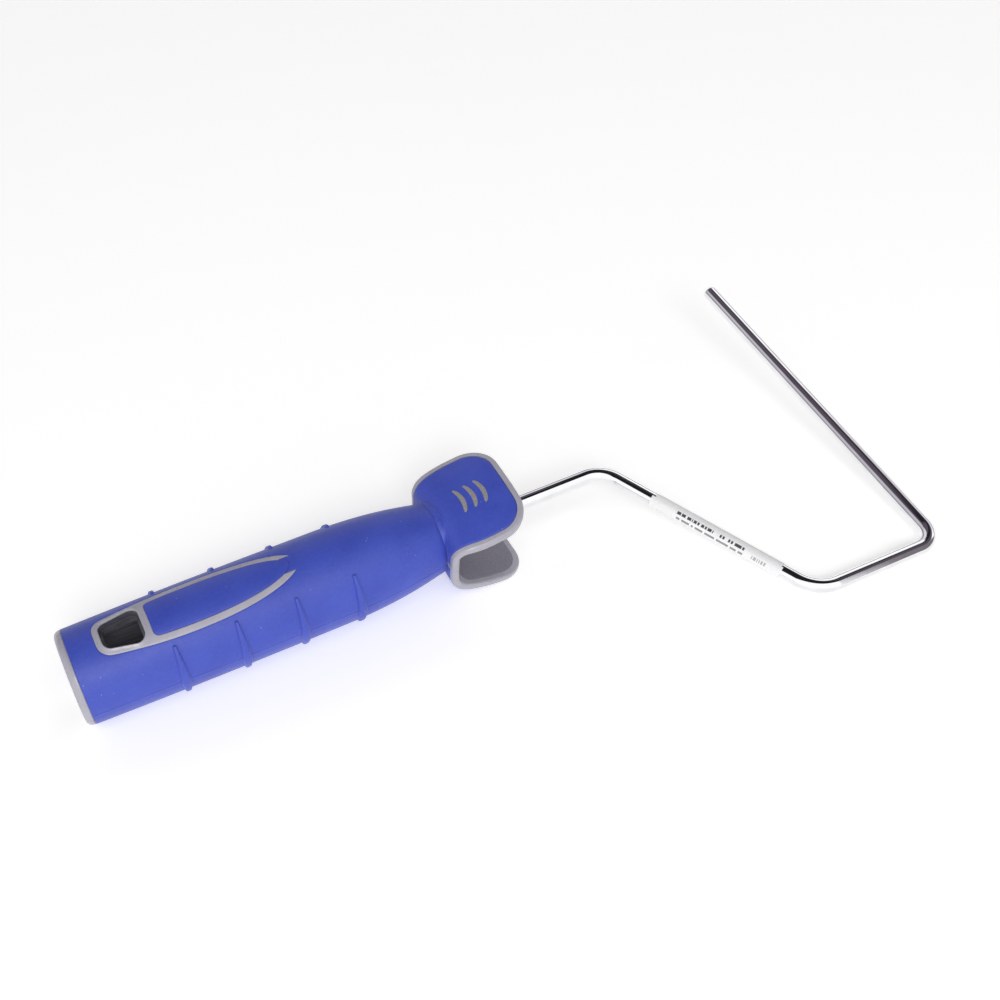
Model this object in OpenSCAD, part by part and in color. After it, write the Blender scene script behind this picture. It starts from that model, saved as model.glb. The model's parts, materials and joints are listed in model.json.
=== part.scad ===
// Roller frame: a soft-grip handle with a thumb guard, and a bent rod that carries a mini roller.
// +X runs along the handle from the butt to the front, +Y is the way the spindle points, and
// +Z comes out of the thumb side. The origin is the centre of the pole socket's mouth.

/* [Grip] */
// Length of the grip from the butt to the guard
grip_len = 139; // [130:1:155]
// Radius of the grip where it is fullest
grip_r = 18.4; // [17.8:0.1:20]
// Radius of the grip at the butt
butt_r = 17.5; // [16.8:0.1:18.4]
// Radius of the neck where it meets the guard
neck_r = 13.8; // [12.5:0.1:16]
// Distance from the butt to the fullest place
belly_at = 75; // [60:1:90]
// Length over which the neck narrows towards the guard
neck_len = 44; // [30:1:46]
// Thickness of the soft sleeve
sleeve_t = 2.2; // [1.6:0.1:2.4]

/* [Grip ribs] */
// Ribs on each side of the grip
rib_count = 4; // [2:1:4]
// Distance from the butt to the first rib
rib_first = 35.6; // [25:0.1:40]
// Distance from one rib to the next
rib_pitch = 22.2; // [15:0.1:26]
// Height of a rib above the grip
rib_h = 1.3; // [0.6:0.1:2]
// Width of a rib at its middle
rib_w = 3.4; // [2:0.1:5]
// Angle from a rib's middle to its pointed end
rib_span = 50; // [35:1:60]

/* [Butt ring] */
// Length of the ring along the handle
ring_len = 2.8; // [2.7:0.1:6]
// Radius of the ring's rounded outer edge
ring_edge_r = 2.6; // [1:0.1:2.8]

/* [Pole socket] */
// Radius of the hole that takes an extension pole
socket_r = 11.75; // [11:0.05:12]
// Wall of the socket liner
socket_wall = 1.6; // [1.2:0.1:1.7]
// Depth of the hole
socket_depth = 64; // [50:1:70]
// Thickness of the liner's closed end
socket_floor = 1.8; // [1:0.1:3]

/* [Hang hole] */
// Distance from the butt to the hole
hole_from = 14.2; // [13.6:0.1:14.9]
// Length of the hole along the handle
hole_len = 14.2; // [10:0.1:15]
// Width of the hole at its butt end
hole_rear_w = 11.2; // [8:0.1:12]
// Width of the hole at its front end
hole_front_w = 14.2; // [10:0.1:15]
// Radius of the hole's corners
hole_corner_r = 3.2; // [1:0.1:3.8]
// Thickness of the bezel's lining around the hole
lining_t = 1.4; // [0.8:0.1:1.5]

/* [Bezel and inlay] */
// Distance from the butt to the bezel
bezel_from = 12; // [9:0.1:12.6]
// Distance from the butt to where the bezel is widest
bezel_wide_at = 46; // [40:1:52]
// Distance from the butt to the front end of the bezel's outline
bezel_to = 85.9; // [78:0.1:92]
// Full width of the bezel
bezel_w = 20.4; // [18:0.1:22]
// Width of the bezel's arms
arm_w = 2.3; // [1.6:0.1:3]
// Radius of the bezel's rear corners
bezel_corner_r = 5; // [3:0.1:6]
// Open gap between the tips of the arms
tip_gap = 6.8; // [4:0.1:8]
// Distance from the butt to the inlay
inlay_from = 30.9; // [30.2:0.1:34]
// Radius of the inlay's rear corners
inlay_corner_r = 2; // [0.5:0.1:4]

/* [Core] */
// Wall of the hollow core behind the guard
core_wall = 2.2; // [1.5:0.1:2.6]
// Radius of the tube that grips the rod
tunnel_r = 6.5; // [5.5:0.1:7]
// Thickness of the webs that carry the tube
web_t = 2; // [1.2:0.1:3]
// Length of solid neck behind the guard
neck_plug = 11; // [8:1:16]

/* [Guard] */
// Length of the guard along the handle
guard_len = 32.1; // [28:0.1:36]
// Width of the guard at its back
guard_rear_w = 37; // [34:0.1:40]
// Greatest width of the guard
guard_w = 42.6; // [40:0.1:46]
// Length over which the guard widens
flare_len = 12; // [8:0.1:14]
// Height of the paddle above the neck where it starts
paddle_step = 0.3; // [0:0.1:1]
// Upward slope of the paddle, in degrees
paddle_slope = 9.6; // [6:0.1:13]
// Radius of the paddle's arch from side to side
arch_r = 97; // [70:1:140]
// Thickness of the guard's plates
plate_t = 3.2; // [2.6:0.1:4]
// Radius of the guard's rounded rear edges
rear_round = 8; // [5:0.1:9]
// Radius of the paddle's front corners
corner_r = 12; // [8:0.1:13]
// Length of the collar that carries the neck's line onto the paddle
collar_len = 7; // [5:0.1:9]
// Length of the nose in front of the guard's back plate
nose_len = 17; // [10:0.1:22]
// Radius of the nose at the back plate
nose_r = 8; // [7:0.1:9]
// Radius of the nose at its tip
nose_tip_r = 4.8; // [4.2:0.1:6]

/* [Guard pads] */
// Width of the hard rim left around a soft pad
rim_w = 2.3; // [1.2:0.1:3]
// Thickness of a soft pad
pad_t = 1.2; // [0.8:0.1:1.4]
// Thickness of a textured front panel
panel_t = 0.8; // [0.5:0.1:1]
// Width of the hard rim around a front panel
panel_rim = 2.6; // [2:0.1:4]

/* [Guard marks] */
// Raised marks on each pad
mark_count = 3; // [1:1:3]
// Distance from the guard's back to the first mark
mark_first = 12.6; // [10:0.1:13]
// Distance from one mark to the next
mark_pitch = 4.3; // [3.5:0.1:5]
// Length of a mark from end to end
mark_len = 11.6; // [8:0.1:14]
// Width of a mark at its middle
mark_w = 1.7; // [1:0.1:2.2]
// Radius of a mark's front edge
mark_r = 12; // [8:0.1:16]
// Height of a mark above the pad
mark_proud = 0.15; // [0.05:0.05:0.4]

/* [Rod] */
// Diameter of the rod
rod_d = 6; // [5:0.1:6.6]
// Distance from the guard's back to the rod's first corner
crank_out = 76; // [60:0.5:100]
// Distance forward from the first corner to the second
leg_x = 43.1; // [30:0.1:60]
// Distance sideways from the first corner to the second
leg_y = 86.6; // [60:0.1:110]
// Distance forward from the second corner to the third
arm_x = 57.2; // [45:0.1:80]
// Distance sideways from the second corner to the third
arm_y = 1.7; // [0:0.1:5]
// Distance from the third corner to the spindle's tip
spindle_len = 159; // [110:1:250]
// Centre-line radius of the first bend
bend_1 = 12.5; // [8:0.1:20]
// Centre-line radius of the second bend
bend_2 = 15; // [8:0.1:20]
// Centre-line radius of the third bend
bend_3 = 8.5; // [7:0.1:14]
// Chamfer at the spindle's tip
tip_chamfer = 0.7; // [0.3:0.1:1.5]
// Length of rod held in the handle
rod_grip = 59; // [45:1:64]
// Length of the flattened wings that stop the rod turning
wing_len = 9; // [6:0.1:12]
// Width of the wings
wing_w = 9.2; // [8:0.1:11]
// Thickness of the wings
wing_t = 2.4; // [1.6:0.1:3]
// Distance from the rod's tail to the wings
wing_from = 5; // [3:0.1:8]

/* [Label] */
// Distance from the rod's first corner to the paper label
label_from = 24.7; // [14:0.1:26]
// Length of the label
label_len = 56.6; // [30:0.1:58]
// Thickness of the wrapped paper
label_t = 0.16; // [0.1:0.02:0.4]

/* [Hidden] */
$fn = 96;

fit_gap = 0.05;          // clearance between moulded pieces and what they seat on
past = 1;                // how far a cut runs past the face that it opens
reach = 60;              // more than half the handle's width and the guard's depth
arc_step = 10;           // angle between the points of a rounded corner
x_step = 3;              // distance between the points of the grip's outline

socket_out_r = socket_r + socket_wall;
socket_end = socket_depth + socket_floor;
hole_to = hole_from + hole_len;
rear_drop = 0.0028;      // how fast the bezel narrows towards the butt, per mm squared
front_power = 2.3;       // fullness of the bezel's front curve
neck_power = 2.2;        // fullness of the grip's curve down to the neck
tail_inset = 1.5;        // how far the bezel's front point draws in for each mm of inset
corner_facets = 32;      // facets of a small rounded corner
core_r = neck_r - sleeve_t - fit_gap;       // radius of the core where it meets the guard
rod_r = rod_d / 2;
rod_hole_r = rod_r + fit_gap;
paddle_z = neck_r + paddle_step;            // height of the paddle's middle line at its back
tail_x = grip_len - rod_grip;
bend_thinning = 0.04;    // how much the rod's radius shrinks in a bend
bend_lap = 0.5;          // how far a bend's end runs into a straight length

// The rod's corners, before they are rounded
corner_1 = [grip_len + crank_out, 0];
corner_2 = corner_1 + [leg_x, -leg_y];
corner_3 = corner_2 + [arm_x, -arm_y];
tip = [corner_3.x, corner_3.y + spindle_len];

// Radius of the grip at a distance from the butt
function grip_radius(x) =
    x < belly_at ? grip_r - (grip_r - butt_r) * pow((belly_at - x) / belly_at, 2)
    : x < grip_len - neck_len ? grip_r
    : grip_r - (grip_r - neck_r) * pow((x - grip_len + neck_len) / neck_len, neck_power);

// Half the width of the bezel's outline, drawn in by an inset
function bezel_half(x, inset) =
    x < bezel_wide_at ? bezel_w / 2 - inset - rear_drop * pow(x - bezel_wide_at, 2)
    : (bezel_w / 2 - inset) * sqrt(max(0, 1 - pow((x - bezel_wide_at)
        / (bezel_to - tail_inset * inset - bezel_wide_at), front_power)));

// A solid of revolution about the handle's axis that follows the grip, set in by an inset
module turned(x0, x1, inset) {
    steps = ceil((x1 - x0) / x_step);
    outline = [for (i = [0:steps]) let (x = x0 + (x1 - x0) * i / steps)
        [grip_radius(min(x, grip_len)) - inset, x]];
    rotate([0, 90, 0]) rotate_extrude() polygon(concat([[0, x0]], outline, [[0, x1]]));
}

// A rod or a hole on the handle's axis
module axial(x0, x1, r, r_end = undef) {
    translate([x0, 0, 0]) rotate([0, 90, 0])
        cylinder(h = x1 - x0, r1 = r, r2 = is_undef(r_end) ? r : r_end);
}

// A plan outline run through one side of the handle
module through(side) {
    mirror([0, 0, side < 0 ? 1 : 0]) linear_extrude(reach) children();
}

// ---- Grip ----

module side_rib(x) {
    r = grip_radius(x);
    offset_y = rib_h / (1 - cos(rib_span));
    half_len = r * sin(rib_span);
    half_w = rib_w / 2;
    lens_r = (half_len * half_len + half_w * half_w) / rib_w;
    intersection() {
        translate([x - rib_w, offset_y, 0]) rotate([0, 90, 0])
            cylinder(h = 2 * rib_w, r = r - offset_y * cos(rib_span));
        rotate([-90, 0, 0]) linear_extrude(reach) intersection() {
            translate([x + lens_r - half_w, 0]) circle(r = lens_r);
            translate([x - lens_r + half_w, 0]) circle(r = lens_r);
        }
    }
}

module bezel_outline(inset, x0) {
    tail = bezel_to - tail_inset * inset;
    points = [for (x = [x0:x_step:tail]) x];
    front = [for (f = [0.5, 0.75, 0.9, 0.97]) tail - (tail - points[len(points) - 1]) * (1 - f)];
    xs = concat(points, tail - points[len(points) - 1] > 0.2 ? front : []);
    upper = [for (x = xs) [x, bezel_half(x, inset)]];
    lower = [for (i = [len(xs) - 1:-1:0]) [xs[i], -bezel_half(xs[i], inset)]];
    polygon(concat(upper, [[tail, 0]], lower));
}

// A box outline with rounded corners at its rear, open-ended towards the front
module rear_rounded(x0, half_w, r) {
    translate([x0 + r, -half_w]) square([reach * 2, 2 * half_w]);
    translate([x0, -half_w + r]) square([reach, 2 * (half_w - r)]);
    for (s = [-1, 1]) translate([x0 + r, s * (half_w - r)]) circle(r = r);
}

module bezel_shape() {
    intersection() {
        bezel_outline(0, bezel_from - past);
        rear_rounded(bezel_from, bezel_half(bezel_from + bezel_corner_r / 2, 0), bezel_corner_r);
        translate([bezel_from, -bezel_w]) square([bezel_to, 2 * bezel_w]);
    }
    intersection() {
        bezel_outline(0, bezel_from);
        translate([bezel_from + bezel_corner_r, -bezel_w]) square([bezel_to, 2 * bezel_w]);
    }
}

module inlay_shape() {
    half_w = bezel_half(inlay_from, arm_w);
    intersection() {
        bezel_outline(arm_w, inlay_from);
        union() {
            rear_rounded(inlay_from, half_w, inlay_corner_r);
            translate([inlay_from + inlay_corner_r, -bezel_w]) square([bezel_to, 2 * bezel_w]);
        }
    }
}

// The gap that the sleeve fills between the tips of the arms
module tip_gap_shape() {
    translate([bezel_wide_at + (bezel_to - bezel_wide_at) / 2, -tip_gap / 2])
        square([bezel_to, tip_gap]);
}

module arms_shape() {
    difference() {
        bezel_shape();
        inlay_shape();
        tip_gap_shape();
    }
}

module hole_shape(grow) {
    r = hole_corner_r + grow;
    rear_y = hole_rear_w / 2 + grow - r;
    front_y = hole_front_w / 2 + grow - r;
    rear_x = hole_from - grow + r;
    front_x = hole_to + grow - r;
    hull() for (s = [-1, 1]) {
        translate([rear_x, s * rear_y]) circle(r = r, $fn = corner_facets);
        translate([front_x, s * front_y]) circle(r = r, $fn = corner_facets);
    }
}

module grip_sleeve() {
    color("royalblue") difference() {
        union() {
            turned(ring_len, grip_len, 0);
            for (i = [0:rib_count - 1], side = [0, 1])
                mirror([0, side, 0]) side_rib(rib_first + i * rib_pitch);
        }
        turned(ring_len - past, grip_len + past, sleeve_t);
        for (side = [-1, 1]) through(side) {
            arms_shape();
            inlay_shape();
        }
    }
}

// The part of the sleeve's thickness that lies inside a plan outline
module skin(side) {
    intersection() {
        difference() {
            turned(ring_len, bezel_to + x_step, 0);
            turned(ring_len - past, bezel_to + x_step + past, sleeve_t);
        }
        through(side) children();
    }
}

module hang_bezel(side) {
    color("darkgray") difference() {
        union() {
            skin(side) arms_shape();
            intersection() {
                turned(ring_len, bezel_wide_at, sleeve_t);
                through(side) hole_shape(lining_t);
            }
        }
        axial(0, bezel_wide_at, socket_out_r + fit_gap);
        through(side) hole_shape(0);
    }
}

module grip_inlay(side) {
    color("royalblue") skin(side) inlay_shape();
}

module butt_ring() {
    edge = [for (a = [0:arc_step:90])
        [butt_r - ring_edge_r + ring_edge_r * sin(a), ring_edge_r - ring_edge_r * cos(a)]];
    inner_r = socket_out_r + fit_gap;
    color("darkgray") rotate([0, 90, 0]) rotate_extrude()
        polygon(concat([[inner_r, 0]], edge, [[grip_radius(ring_len), ring_len], [inner_r, ring_len]]));
}

module pole_socket() {
    color("dimgray") difference() {
        axial(0, socket_end, socket_out_r);
        axial(-past, socket_depth, socket_r);
        for (side = [-1, 1]) through(side) hole_shape(0);
    }
}

// The hollow behind the guard, around the tube that grips the rod
module core_pocket() {
    difference() {
        turned(socket_end, grip_len - neck_plug, sleeve_t + core_wall);
        axial(socket_end + past, grip_len, tunnel_r);
        for (a = [45, 135]) rotate([a, 0, 0])
            translate([socket_end + past, -reach, -web_t / 2]) cube([grip_len, 2 * reach, web_t]);
    }
}

module handle_core() {
    color("gray") difference() {
        turned(ring_len, grip_len, sleeve_t + fit_gap);
        axial(0, socket_end + fit_gap, socket_out_r + fit_gap);
        core_pocket();
        axial(tail_x - fit_gap, grip_len + past, rod_hole_r);
        rod_wings(fit_gap);
        for (side = [-1, 1]) through(side) hole_shape(lining_t + fit_gap);
    }
}

// ---- Guard ----

module guard_plan(inset) {
    half_w = guard_w / 2;
    centre = [grip_len + guard_len - corner_r, half_w - corner_r];
    corner = [for (a = [90:-arc_step:0]) centre + (corner_r - inset) * [cos(a), sin(a)]];
    side = [
        [grip_len - past, guard_rear_w / 2 - inset],
        [grip_len + flare_len, half_w - inset]
    ];
    upper = concat(side, corner);
    polygon(concat(upper, [for (i = [len(upper) - 1:-1:0]) [upper[i].x, -upper[i].y]]));
}

// Everything under the paddle's arched face, for the top or the bottom paddle
module under_arch(side, depth) {
    mirror([0, 0, side < 0 ? 1 : 0]) translate([grip_len, 0, paddle_z]) rotate([0, -paddle_slope, 0])
        translate([-reach / 2, 0, -arch_r]) rotate([0, 90, 0])
            cylinder(h = 2 * reach, r = arch_r - depth, $fn = 180);
}

// Side outline of the guard with its rounded rear edges
module guard_profile(inset) {
    r = rear_round - inset;
    rise = tan(paddle_slope);
    centre = [rear_round, paddle_z + rise * rear_round - rear_round / cos(paddle_slope)];
    arc = [for (a = [180:-arc_step:90 + paddle_slope]) centre + r * [cos(a), sin(a)]];
    end_z = paddle_z + rise * reach;
    polygon(concat([[inset, -centre.y]], arc, [[reach, end_z], [reach, -end_z]],
        [for (i = [len(arc) - 1:-1:0]) [arc[i].x, -arc[i].y]]));
}

// A side outline of the guard, run across its whole width
module across_guard() {
    translate([grip_len, reach, 0]) rotate([90, 0, 0]) linear_extrude(2 * reach) children();
}

// The guard's outside, set in by a depth from its back and from its arched faces
module guard_block(depth) {
    intersection() {
        across_guard() guard_profile(depth);
        translate([0, 0, -reach]) linear_extrude(2 * reach) guard_plan(0);
        under_arch(1, depth + fit_gap);
        under_arch(-1, depth + fit_gap);
    }
    axial(grip_len + depth, grip_len + collar_len, neck_r - depth);
}

// The open space between the paddles, made larger by an amount
module guard_cavity(grow) {
    intersection() {
        across_guard() guard_profile(plate_t - grow);
        under_arch(1, plate_t - grow);
        under_arch(-1, plate_t - grow);
    }
}

module pad_shell(side) {
    intersection() {
        difference() {
            guard_block(0);
            guard_block(pad_t);
            axial(grip_len - past, grip_len + collar_len, core_r);
        }
        through(side) guard_plan(rim_w);
    }
}

module panel_shell(side) {
    intersection() {
        difference() {
            guard_cavity(panel_t);
            guard_cavity(0);
        }
        through(side) intersection() {
            guard_plan(panel_rim);
            translate([grip_len + plate_t + panel_rim, -reach]) square(2 * reach);
        }
    }
}

module marks_shape() {
    for (i = [0:mark_count - 1])
        translate([grip_len + mark_first + i * mark_pitch, 0]) intersection() {
            difference() {
                translate([mark_w / 2 - mark_r, 0]) circle(r = mark_r);
                translate([-mark_w / 2 - 1.25 * mark_r, 0]) circle(r = 1.25 * mark_r);
            }
            translate([-mark_r, -mark_len / 2]) square([2 * mark_r, mark_len]);
        }
}

module thumb_guard() {
    color("darkgray") difference() {
        union() {
            difference() {
                guard_block(0);
                guard_cavity(0);
            }
            axial(grip_len + plate_t / 2, grip_len + plate_t + nose_len, nose_r, nose_tip_r);
        }
        for (side = [-1, 1]) {
            pad_shell(side);
            panel_shell(side);
        }
        axial(grip_len - past, grip_len + guard_len, rod_hole_r);
    }
}

module guard_pad(side) {
    color("royalblue") difference() {
        pad_shell(side);
        through(side) marks_shape();
    }
}

module guard_marks(side) {
    color("darkgray") intersection() {
        difference() {
            guard_block(-mark_proud);
            guard_block(pad_t);
        }
        through(side) marks_shape();
    }
}

module front_panel(side) {
    color("dimgray") panel_shell(side);
}

// ---- Rod ----

module rod_wings(grow) {
    translate([tail_x + wing_from - grow, -wing_w / 2 - grow, -wing_t / 2 - grow])
        cube([wing_len + 2 * grow, wing_w + 2 * grow, wing_t + 2 * grow]);
}

function unit(v) = v / norm(v);
function turn_at(a, b, c) = acos(unit(b - a) * unit(c - b));
function cut_back(a, b, c, r) = r * tan(turn_at(a, b, c) / 2);

// A straight length of rod, and then what follows it
module straight(length) {
    rotate([0, 90, 0]) cylinder(h = length, r = rod_r);
    translate([length, 0, 0]) children();
}

// A bend to the left (side 1) or the right (side -1), and then what follows it. The rod is drawn a
// little thinner in a bend, and the bend's ends run a short way into the straight lengths.
module bend(turn, r, side) {
    lap = bend_lap / r * 180 / PI;
    mirror([0, side < 0 ? 1 : 0, 0]) translate([0, r, 0]) rotate([0, 0, -90 - lap])
        rotate_extrude(angle = turn + 2 * lap) translate([r, 0]) circle(r = rod_r - bend_thinning);
    translate([0, side * r, 0]) rotate([0, 0, side * turn]) translate([0, -side * r, 0]) children();
}

module roller_rod() {
    tail = [tail_x, 0];
    back_1 = cut_back(tail, corner_1, corner_2, bend_1);
    back_2 = cut_back(corner_1, corner_2, corner_3, bend_2);
    back_3 = cut_back(corner_2, corner_3, tip, bend_3);
    color("silver") {
        translate([tail_x, 0, 0])
            straight(norm(corner_1 - tail) - back_1)
            bend(turn_at(tail, corner_1, corner_2), bend_1, -1)
            straight(norm(corner_2 - corner_1) - back_1 - back_2)
            bend(turn_at(corner_1, corner_2, corner_3), bend_2, 1)
            straight(norm(corner_3 - corner_2) - back_2 - back_3)
            bend(turn_at(corner_2, corner_3, tip), bend_3, 1)
            straight(spindle_len - back_3 - tip_chamfer)
            rotate([0, 90, 0]) cylinder(h = tip_chamfer, r1 = rod_r, r2 = rod_r - tip_chamfer);
        rod_wings(0);
    }
}

module paper_label() {
    leg = corner_2 - corner_1;
    inner_r = rod_r + fit_gap / 2;
    color("white") translate([corner_1.x, corner_1.y, 0]) rotate([0, 0, atan2(leg.y, leg.x)])
        difference() {
            axial(label_from, label_from + label_len, inner_r + label_t);
            axial(label_from - past, label_from + label_len + past, inner_r);
        }
}

handle_core();
pole_socket();
butt_ring();
grip_sleeve();
hang_bezel(1);  // hang_bezel_top
hang_bezel(-1);  // hang_bezel_bottom
grip_inlay(1);  // grip_inlay_top
grip_inlay(-1);  // grip_inlay_bottom
thumb_guard();
guard_pad(1);  // guard_pad_top
guard_pad(-1);  // guard_pad_bottom
guard_marks(1);  // guard_marks_top
guard_marks(-1);  // guard_marks_bottom
front_panel(1);  // front_panel_top
front_panel(-1);  // front_panel_bottom
roller_rod();
paper_label();
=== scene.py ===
"""Looks of the roller frame: soft grip, hang hole, thumb guard, bent chromed rod and paper label.

Shapes are worked out in millimetres in the CAD frame and become meshes in metres.
"""

import json
import math

import bmesh
import bpy
import numpy as np
from mathutils import Matrix, Vector
from mathutils.geometry import delaunay_2d_cdt


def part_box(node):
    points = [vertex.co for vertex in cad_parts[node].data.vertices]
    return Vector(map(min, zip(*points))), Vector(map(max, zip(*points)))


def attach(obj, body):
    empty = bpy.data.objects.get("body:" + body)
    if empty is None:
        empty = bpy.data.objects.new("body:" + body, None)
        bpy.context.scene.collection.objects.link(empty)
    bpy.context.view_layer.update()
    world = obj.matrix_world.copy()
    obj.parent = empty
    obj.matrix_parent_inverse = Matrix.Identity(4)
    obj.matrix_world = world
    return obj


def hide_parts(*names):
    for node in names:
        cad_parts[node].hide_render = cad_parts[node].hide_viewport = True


MM = 0.001

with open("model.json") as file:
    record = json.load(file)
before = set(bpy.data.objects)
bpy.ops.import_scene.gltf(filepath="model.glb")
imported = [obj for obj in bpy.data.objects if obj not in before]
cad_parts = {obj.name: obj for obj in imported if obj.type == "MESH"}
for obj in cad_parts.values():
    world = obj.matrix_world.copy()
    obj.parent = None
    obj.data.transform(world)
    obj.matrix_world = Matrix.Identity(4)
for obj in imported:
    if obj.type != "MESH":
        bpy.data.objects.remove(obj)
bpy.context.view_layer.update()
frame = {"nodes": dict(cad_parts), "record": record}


def low(node, axis):
    """Lowest coordinate of a CAD node along an axis, in millimetres."""
    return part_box(node)[0][axis] / MM


def high(node, axis):
    """Highest coordinate of a CAD node along an axis, in millimetres."""
    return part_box(node)[1][axis] / MM


# ---------------- sizes, in millimetres unless another unit is given

# Grip
GRIP_FROM = low("grip_sleeve", 0)
GRIP_TO = high("grip_sleeve", 0)
GRIP_R = 18.4
BUTT_R = high("butt_ring", 2) - 0.03
NECK_R = 13.8
BELLY_X = 75.0
NECK_LEN = 44.0
NECK_POWER = 2.2
SLEEVE_T = 2.2
SOFT_EDGE_R = 0.3  # rounding of an edge that meets another piece
FLASH_H = 0.16  # parting line along the sleeve's sides
FLASH_W = 0.3
ARC_R = 18.0  # radius that turns an angle round the grip into a length
SIDE_ARC = ARC_R * math.pi / 2

# Ribs on the sides of the grip
RIB_COUNT = 4
RIB_FIRST = 35.6
RIB_PITCH = 22.2
RIB_H = 1.3
RIB_W = 3.8
RIB_TIP_W = 1.5
RIB_SPAN = 50.0  # degrees on each side of the middle

# Bezel, hole and inlay
BEZEL_FROM = low("hang_bezel_top", 0)
BEZEL_WIDE_X = 46.0
BEZEL_TO = 85.9
BEZEL_HALF = 10.2
ARM_W = 2.3
REAR_DROP = 0.0028
FRONT_POWER = 2.3
TAIL_INSET = 1.5
REAR_CORNER_R = 5.0
TIP_HALF = 3.4
INLAY_FROM = low("grip_inlay_top", 0)
INLAY_CORNER_R = 2.0
HOLE_FROM = 14.2
HOLE_TO = 28.4
HOLE_REAR_HALF = 5.6
HOLE_FRONT_HALF = 7.1
HOLE_CORNER_R = 3.2
LINING_T = 1.4
LIP_T = 0.55  # depth of the grey lip before the wall painted charcoal as shade starts
LIP_BEAD_H = 0.24  # bead along the lip
LEDGE_DEPTH = 2.9  # depth of the ledge inside the hole
LEDGE_W = 0.85

# Socket
SOCKET_R = frame["record"]["mounts"][0]["dims"]["r_mm"]
SOCKET_OUT_R = high("pole_socket", 1)
SOCKET_TO = high("pole_socket", 0)
SOCKET_FLOOR = 1.8
SOCKET_GROOVE_PITCH = 15.0  # degrees between the grooves in the bore
SOCKET_GROOVE_D = 0.28

# Guard
GUARD_X = low("thumb_guard", 0)
GUARD_LEN = 32.1
GUARD_MID_HALF = 18.2
GUARD_WIDE_HALF = 21.3
CORNER_R = 12.0
SLOPE = math.radians(9.6)
ARCH_R = 97.0
PLATE_T = 3.2
PADDLE_Z = NECK_R + 0.3
BACK_R = 9.5
RIM_W = 2.3
GUARD_EDGE_R = 1.15
PAD_T = 1.2
PAD_FROM = 0.9  # from the middle of the guard's back
PANEL_RIM = 2.6
PANEL_CORNER_R = 8.0
PANEL_T = 0.8
PANEL_PROUD = 0.10
PANEL_REACH = 6.5  # how far the panel reaches back into the bend
FIT = 0.02  # gap between pieces that fit into each other
NOSE_TO = high("thumb_guard", 0)

# Raised marks on the guard
MARK_COUNT = 3
MARK_FIRST = 12.8
MARK_PITCH = 4.3
MARK_LIFT = 0.27
MARK_LEN = 11.4
MARK_W = 1.85
MARK_BOW = 1.4
MARK_H = 0.16

# Rod
ROD_R = 3.0
ROD_TAIL = low("roller_rod", 0)
CORNERS = [(GUARD_X + 76.0, 0.0), (GUARD_X + 119.1, -86.6), (high("roller_rod", 0) - ROD_R, -88.3)]
BENDS = [12.5, 15.0, 8.5]
TIP_Y = high("roller_rod", 1)
TIP_ROUND = 1.0

# Label
LABEL_FROM = 24.7
LABEL_LEN = 56.6
LABEL_T = 0.16
LABEL_GAP = 0.015  # between the rod and the paper
LABEL_EDGE = 98.0  # degrees round the rod to the paper's first edge
LABEL_LAP = 34.0  # degrees by which the paper overlaps itself
PRINT_MIDDLE = 128.0  # degrees round the rod to the middle of the print

# Stage
FLOOR_NORMAL = Vector((0.0216, 0.2335, 0.9721)).normalized()
FLOOR_DROP = 17.45
FLOOR_SIZE = 6000.0
FLOOR_GLOW = 0.37
WORLD_STRENGTH = 1.22
KEY_TOWARDS = (-0.24, -0.63, 0.74)
KEY_AWAY = 1.3  # metres
KEY_SIZE = 0.32  # metres
KEY_POWER = 5.2
OBJECT_MIDDLE = (160.0, 0.0, 0.0)
CAMERA_AT = (15.98, -252.37, 376.20)
CAMERA_TURN = (38.539, -2.461, -28.037)
FOCAL_LEN = 44.08


# ---------------- flat outlines and sheets

def subdivided(outline, step):
    """The outline's points with more between them, so that none are farther apart than a step."""
    points = []
    for a, b in zip(outline, outline[1:] + outline[:1]):
        count = max(1, math.ceil(math.dist(a, b) / step - 0.01))
        points += [(a[0] + (b[0] - a[0]) * i / count, a[1] + (b[1] - a[1]) * i / count)
                   for i in range(count)]
    return points


def arc(centre, radius, start, end, count=10):
    """Points along an arc, angles in degrees."""
    angles = [math.radians(start + (end - start) * i / count) for i in range(count + 1)]
    return [(centre[0] + radius * math.cos(a), centre[1] + radius * math.sin(a)) for a in angles]


def both_sides(half):
    """A closed outline from its +Y half, which runs from the rear to the front."""
    mirrored = [(x, -y) for x, y in reversed(half) if y > 0.001]
    return half + mirrored


def distance_to(points, loop):
    """Distance from each point to a closed outline."""
    a = np.asarray(loop)
    d = np.roll(a, -1, axis=0) - a
    length2 = (d * d).sum(1)
    found = np.empty(len(points))
    for i in range(0, len(points), 2000):
        p = points[i:i + 2000, None, :]
        t = np.clip(((p - a) * d).sum(2) / length2, 0, 1)
        gap = p - a - t[..., None] * d
        found[i:i + 2000] = np.sqrt((gap * gap).sum(2).min(1))
    return found


def inside(points, loops):
    """True for each point that lies inside the first outline and outside the others."""
    odd = np.zeros(len(points), bool)
    for loop in loops:
        a = np.asarray(loop)
        b = np.roll(a, -1, axis=0)
        run = np.where(b[:, 1] == a[:, 1], 1e-12, b[:, 1] - a[:, 1])
        for i in range(0, len(points), 2000):
            x, y = points[i:i + 2000, :1], points[i:i + 2000, 1:]
            crossed = (a[:, 1] > y) != (b[:, 1] > y)
            at = a[:, 0] + (y - a[:, 1]) / run * (b[:, 0] - a[:, 0])
            odd[i:i + 2000] ^= (crossed & (x < at)).sum(1) % 2 == 1
    return odd


def nearest(points, loops):
    """Distance from each point to the nearest of some closed outlines."""
    return np.min([distance_to(points, loop) for loop in loops], axis=0)


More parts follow.
